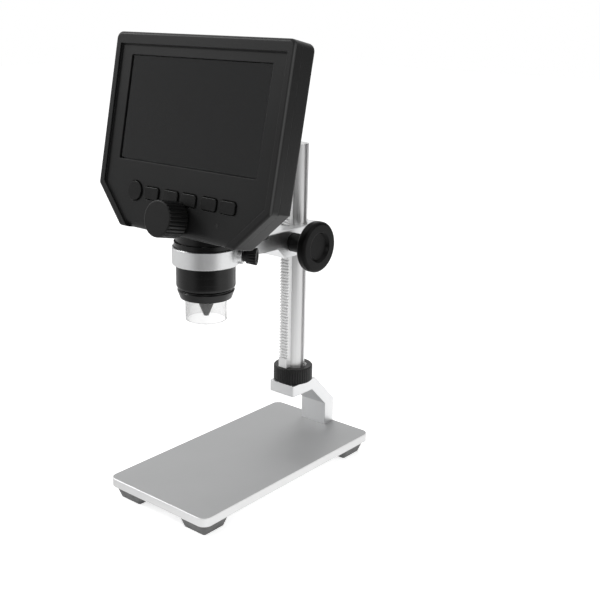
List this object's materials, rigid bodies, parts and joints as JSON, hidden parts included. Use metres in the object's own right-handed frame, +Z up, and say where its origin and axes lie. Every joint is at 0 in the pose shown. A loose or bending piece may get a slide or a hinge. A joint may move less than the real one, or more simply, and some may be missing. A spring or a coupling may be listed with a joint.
{
  "type": "digital microscope",
  "caption": "Desktop digital microscope: a leaning flat-screen unit on a lens barrel, held by a clamp ring on a rack-and-pinion column over a flat base plate.",
  "frame": {"origin": "on the table, under the centre of the base plate", "axes": "+X to the user's right, +Y away from the user towards the column, +Z up; the screen faces -Y"},
  "size_m": [0.126, 0.15, 0.2578],
  "materials": {
    "satin_aluminium": "fine satin anodised, natural colour",
    "bright_steel": "ground and plated bar",
    "fastener_steel": "plated screw steel",
    "brass": "turned brass",
    "foot_rubber": "soft dull grey-black rubber",
    "shell_plastic": "fine-textured black moulding",
    "knob_plastic": "black, smooth or finely fluted grips",
    "key_plastic": "smooth black keys",
    "barrel_plastic": "semi-gloss black barrel",
    "nylon": "natural nylon",
    "screen_glass": "clear glass over a dark display",
    "display": "dark display with a steel back",
    "board_green": "solder-masked board",
    "switch_black": "small moulded components",
    "socket_steel": "plated sheet steel",
    "battery_wrap": "shrink-wrapped cell",
    "clear_cap": "clear moulded cap",
    "led": "white light-emitting diodes",
    "optic_glass": "coated lens",
    "sensor_black": "image sensor package",
    "lamp_lens": "small dark light pipe"
  },
  "bodies": {
    "stand": {"base_plate": "satin_aluminium", "rubber_feet": "foot_rubber", "bracket_screws": "fastener_steel", "stand_bracket": "satin_aluminium", "threaded_socket": "satin_aluminium", "column": "bright_steel", "gear_rack": "bright_steel", "column_bolt": "fastener_steel"},
    "lock_ring": {"lock_ring_nut": "knob_plastic"},
    "carriage": {"holder_ring": "satin_aluminium", "ring_screw": "fastener_steel", "carriage_arm": "satin_aluminium", "guide_keys": "nylon", "pinion_bushes": "switch_black", "tension_screw": "fastener_steel", "tension_pad": "nylon"},
    "height_knobs": {"pinion_shaft": "bright_steel", "pinion": "brass", "left_height_knob": "knob_plastic", "right_height_knob": "knob_plastic"},
    "thumb_screw": {"thumb_screw_head": "knob_plastic", "thumb_screw_shank": "fastener_steel"},
    "head": {"front_shell": "shell_plastic", "rear_shell": "shell_plastic", "screen_glass": "screen_glass", "lcd_module": "display", "main_board": "board_green", "key_board": "board_green", "key_switches": "switch_black", "board_screws": "fastener_steel", "usb_socket": "socket_steel", "card_socket": "socket_steel", "battery": "battery_wrap", "battery_door": "shell_plastic", "door_screw": "fastener_steel", "case_screws": "fastener_steel", "barrel_housing": "barrel_plastic", "barrel_screws": "fastener_steel", "barrel_nose": "barrel_plastic", "clear_cap": "clear_cap", "lens_snout": "barrel_plastic", "light_board": "board_green", "light_leds": "led", "sensor_board": "board_green", "image_sensor": "sensor_black", "charge_lamp": "lamp_lens", "focus_bush": "nylon", "light_control": "switch_black"},
    "front_focus": {"front_focus_knob": "knob_plastic", "focus_spindle": "bright_steel", "focus_pinion": "brass"},
    "lens": {"lens_carrier": "barrel_plastic", "objective_lens": "optic_glass"},
    "power_key": {"power_button": "key_plastic"},
    "key_1": {"key_1": "key_plastic"},
    "key_2": {"key_2": "key_plastic"},
    "key_3": {"key_3": "key_plastic"},
    "key_4": {"key_4": "key_plastic"},
    "key_5": {"key_5": "key_plastic"},
    "light_wheel": {"light_wheel": "knob_plastic"}
  },
  "joints": [
    {"name": "lock_ring_turn", "type": "hinge", "parent": "stand", "child": "lock_ring", "pos_m": [0, 0.044, 0.053], "axis": [0, 0, 1], "range_deg": [0, 360]},
    {"name": "height_slide", "type": "slide", "parent": "stand", "child": "carriage", "axis": [0, 0, 1], "range_m": [-0.072, 0.046]},
    {"name": "height_pinion_turn", "type": "hinge", "parent": "carriage", "child": "height_knobs", "pos_m": [0, 0.02924, 0.14], "axis": [1, 0, 0], "range_deg": [-560, 870]},
    {"name": "thumb_screw_turn", "type": "hinge", "parent": "carriage", "child": "thumb_screw", "pos_m": [0.02009, -0.0214, 0.1429], "axis": [0.866, 0.5, 0], "range_deg": [0, 360]},
    {"name": "head_turn", "type": "hinge", "parent": "carriage", "child": "head", "pos_m": [0, -0.033, 0.149], "axis": [0, 0, 1], "continuous": true},
    {"name": "front_focus_turn", "type": "hinge", "parent": "head", "child": "front_focus", "pos_m": [0, -0.05562, 0.16535], "axis": [0, -0.9779, 0.2091], "range_deg": [-85, 99]},
    {"name": "lens_slide", "type": "slide", "parent": "head", "child": "lens", "axis": [0, 0, 1], "range_m": [-0.0035, 0.003]},
    {"name": "light_wheel_turn", "type": "hinge", "parent": "head", "child": "light_wheel", "pos_m": [-0.0562, -0.03637, 0.19702], "axis": [0, -0.9779, 0.2091], "range_deg": [0, 270]},
    {"name": "power_key_press", "type": "slide", "parent": "head", "child": "power_key", "axis": [0, 0.9779, -0.2091], "range_m": [0, 0.0006], "stiffness_N_per_m": 500},
    {"name": "key_1_press", "type": "slide", "parent": "head", "child": "key_1", "axis": [0, 0.9779, -0.2091], "range_m": [0, 0.0006], "stiffness_N_per_m": 500},
    {"name": "key_2_press", "type": "slide", "parent": "head", "child": "key_2", "axis": [0, 0.9779, -0.2091], "range_m": [0, 0.0006], "stiffness_N_per_m": 500},
    {"name": "key_3_press", "type": "slide", "parent": "head", "child": "key_3", "axis": [0, 0.9779, -0.2091], "range_m": [0, 0.0006], "stiffness_N_per_m": 500},
    {"name": "key_4_press", "type": "slide", "parent": "head", "child": "key_4", "axis": [0, 0.9779, -0.2091], "range_m": [0, 0.0006], "stiffness_N_per_m": 500},
    {"name": "key_5_press", "type": "slide", "parent": "head", "child": "key_5", "axis": [0, 0.9779, -0.2091], "range_m": [0, 0.0006], "stiffness_N_per_m": 500}
  ],
  "couplings": [
    {"joint": "height_pinion_turn", "follows": "height_slide", "rad_per_m": -208.33},
    {"joint": "front_focus_turn", "follows": "lens_slide", "rad_per_m": -488.95}
  ]
}
